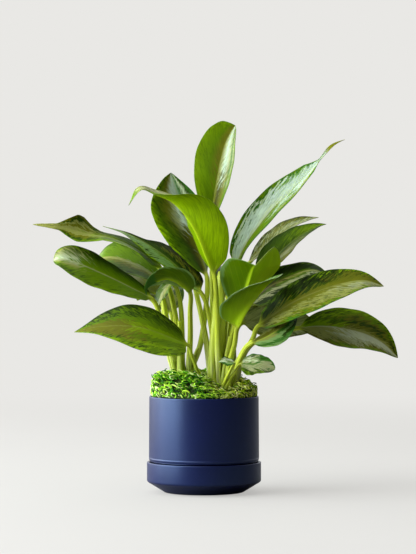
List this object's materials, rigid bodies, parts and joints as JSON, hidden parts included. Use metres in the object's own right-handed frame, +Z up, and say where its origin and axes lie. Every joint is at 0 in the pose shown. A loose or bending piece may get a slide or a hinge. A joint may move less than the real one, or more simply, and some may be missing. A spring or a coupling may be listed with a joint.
{
  "type": "potted chinese evergreen",
  "caption": "Leafy potted plant with broad silver-marked green leaves on bundled stalks, mossy soil top, straight dark cylindrical pot and deep matching saucer.",
  "frame": {"origin": "centre of the saucer's flat underside, on the surface that the pot stands on", "axes": "+Z up along the pot's axis; -Y towards the viewer of the picture; +X to the viewer's right"},
  "size_m": [0.5033, 0.2999, 0.5136],
  "materials": {
    "ceramic": "satin navy glaze on ceramic, faintly speckled",
    "soil": "dark crumbly potting soil",
    "moss": "curly dried moss, lime to dark green",
    "leaf": "waxy satin leaf, green margins feathered into silver, pale green stalks"
  },
  "bodies": {
    "root": {"saucer": "ceramic", "pot": "ceramic", "soil": "soil", "moss": "moss", "leaf_top": "leaf", "leaf_silver": "leaf", "leaf_grey": "leaf", "leaf_right_green": "leaf", "leaf_arching": "leaf", "leaf_back_dark": "leaf", "leaf_far_left": "leaf", "leaf_left_edge": "leaf", "leaf_left_round": "leaf", "leaf_left_inner": "leaf", "leaf_low_left": "leaf", "leaf_bent_over": "leaf", "leaf_front": "leaf", "leaf_right_dark": "leaf", "leaf_right_big": "leaf", "leaf_thick_stalk": "leaf", "leaf_right_low": "leaf", "leaf_right_pale": "leaf", "leaf_small_right": "leaf", "leaf_small_left": "leaf", "leaf_left_under": "leaf", "leaf_hanging": "leaf", "leaf_back": "leaf", "leaf_back_right": "leaf", "leaf_back_low_left": "leaf", "leaf_back_low_right": "leaf", "leaf_side_left": "leaf", "leaf_side_right": "leaf"}
  },
  "joints": []
}
